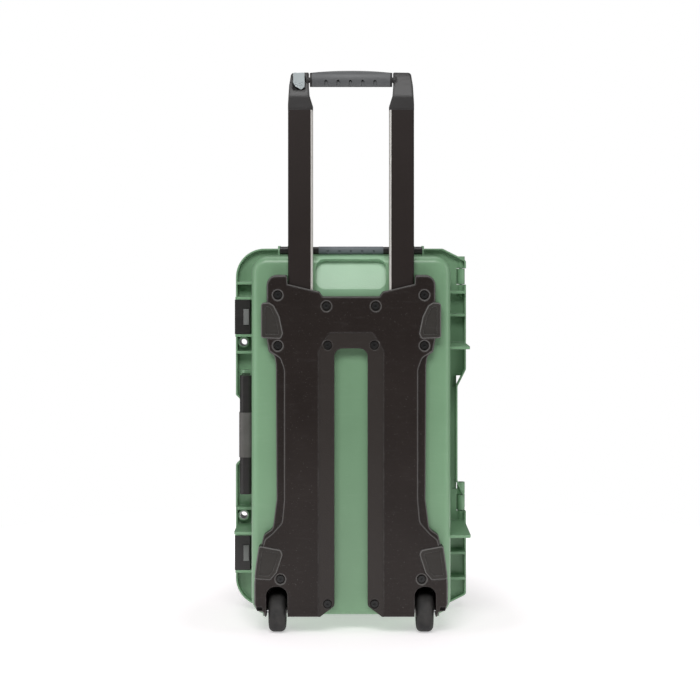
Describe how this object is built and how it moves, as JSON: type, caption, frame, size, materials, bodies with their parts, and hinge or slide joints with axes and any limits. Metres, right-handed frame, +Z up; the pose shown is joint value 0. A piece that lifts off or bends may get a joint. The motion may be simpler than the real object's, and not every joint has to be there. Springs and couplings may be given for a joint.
{
  "type": "drone carrying case",
  "caption": "Wheeled hard case for a drone, with a pull-out trolley handle, two folding carry handles, press latches and a cut foam insert.",
  "frame": {"origin": "on the floor, under the middle of the bounding box, with the case standing on its wheels and feet and the trolley handle out", "axes": "+Z up, -Y towards the trolley side, +Y towards the lid, +X towards the hinge side"},
  "size_m": [0.354, 0.229, 0.815],
  "materials": {
    "shell_green": "satin",
    "lid_green": "satin",
    "housing_black": "matte",
    "bumper_black": "matte",
    "tube_black": "satin",
    "moulded_black": "satin",
    "handle_black": "satin",
    "trolley_grip": "satin",
    "top_grip": "matte",
    "side_grip": "matte",
    "button_silver": "satin",
    "latch_black": "satin",
    "latch_grey": "satin",
    "screw_black": "satin",
    "steel": "satin",
    "tyre": "matte",
    "hub": "satin",
    "bush": "satin",
    "seal": "matte",
    "foam": "matte"
  },
  "bodies": {
    "base": {"base_shell": "shell_green", "base_foam": "foam", "trolley_housing": "housing_black", "bumper_upper_left": "bumper_black", "bumper_upper_right": "bumper_black", "bumper_lower_left": "bumper_black", "bumper_lower_right": "bumper_black", "housing_screws": "screw_black", "guide_bush_left": "bush", "guide_bush_right": "bush", "latch_pins": "steel", "hinge_pins": "steel", "base_eyelets": "steel", "wheel_axles": "steel", "top_handle_pins": "steel", "side_handle_pins": "steel"},
    "lid": {"lid_shell": "lid_green", "lid_foam": "foam", "lid_gasket": "seal", "lid_eyelets": "steel"},
    "trolley": {"trolley_tube_left": "tube_black", "trolley_tube_right": "tube_black", "trolley_head": "moulded_black", "trolley_grip": "trolley_grip", "head_screws": "screw_black", "tube_glide_left": "bush", "tube_glide_right": "bush"},
    "button": {"release_button": "button_silver"},
    "rods": {"pull_rod_left": "steel", "pull_rod_right": "steel"},
    "lock_left": {"lock_pin_left": "steel"},
    "lock_right": {"lock_pin_right": "steel"},
    "wheel_left": {"tyre_left": "tyre", "wheel_hub_left": "hub", "wheel_bush_left": "bush"},
    "wheel_right": {"tyre_right": "tyre", "wheel_hub_right": "hub", "wheel_bush_right": "bush"},
    "top_handle": {"top_handle_frame": "handle_black", "top_handle_grip": "top_grip"},
    "side_handle": {"side_handle_frame": "handle_black", "side_handle_grip": "side_grip"},
    "upper_latch": {"latch_upper": "latch_black"},
    "lower_latch": {"latch_lower": "latch_black"},
    "upper_button": {"latch_button_upper": "latch_grey"},
    "lower_button": {"latch_button_lower": "latch_grey"}
  },
  "joints": [
    {"name": "lid_hinge", "type": "hinge", "parent": "base", "child": "lid", "pos_m": [0.17, 0.048, 0.28], "axis": [0, 0, -1], "range_deg": [0, 95]},
    {"name": "trolley_slide", "type": "slide", "parent": "base", "child": "trolley", "axis": [0, 0, 1], "range_m": [-0.25, 0]},
    {"name": "release_button", "type": "slide", "parent": "trolley", "child": "button", "axis": [0, 1, 0], "range_m": [0, 0.003], "stiffness_N_per_m": 500, "springref_m": -0.002},
    {"name": "pull_rods", "type": "slide", "parent": "trolley", "child": "rods", "axis": [0, 0, -1], "range_m": [0, 0.003]},
    {"name": "lock_left", "type": "slide", "parent": "trolley", "child": "lock_left", "axis": [-1, 0, 0], "range_m": [0, 0.004]},
    {"name": "lock_right", "type": "slide", "parent": "trolley", "child": "lock_right", "axis": [1, 0, 0], "range_m": [0, 0.004]},
    {"name": "wheel_left_spin", "type": "hinge", "parent": "base", "child": "wheel_left", "pos_m": [-0.107, -0.084, 0.029], "axis": [1, 0, 0], "continuous": true},
    {"name": "wheel_right_spin", "type": "hinge", "parent": "base", "child": "wheel_right", "pos_m": [0.107, -0.084, 0.029], "axis": [1, 0, 0], "continuous": true},
    {"name": "top_handle_fold", "type": "hinge", "parent": "base", "child": "top_handle", "pos_m": [0, 0, 0.555], "axis": [-1, 0, 0], "range_deg": [0, 90]},
    {"name": "side_handle_fold", "type": "hinge", "parent": "base", "child": "side_handle", "pos_m": [-0.16, 0.012, 0.2795], "axis": [0, 0, -1], "range_deg": [0, 90]},
    {"name": "upper_latch_swing", "type": "hinge", "parent": "base", "child": "upper_latch", "pos_m": [-0.165, 0.024, 0.454], "axis": [0, 0, 1], "range_deg": [0, 50]},
    {"name": "lower_latch_swing", "type": "hinge", "parent": "base", "child": "lower_latch", "pos_m": [-0.165, 0.024, 0.095], "axis": [0, 0, 1], "range_deg": [0, 50]},
    {"name": "upper_latch_button", "type": "slide", "parent": "upper_latch", "child": "upper_button", "axis": [0, 1, 0], "range_m": [0, 0.0025], "stiffness_N_per_m": 500, "springref_m": -0.002},
    {"name": "lower_latch_button", "type": "slide", "parent": "lower_latch", "child": "lower_button", "axis": [0, 1, 0], "range_m": [0, 0.0025], "stiffness_N_per_m": 500, "springref_m": -0.002}
  ],
  "couplings": [
    {"joint": "pull_rods", "follows": "release_button", "ratio": 1},
    {"joint": "lock_left", "follows": "release_button", "ratio": 1.3333},
    {"joint": "lock_right", "follows": "release_button", "ratio": 1.3333}
  ]
}
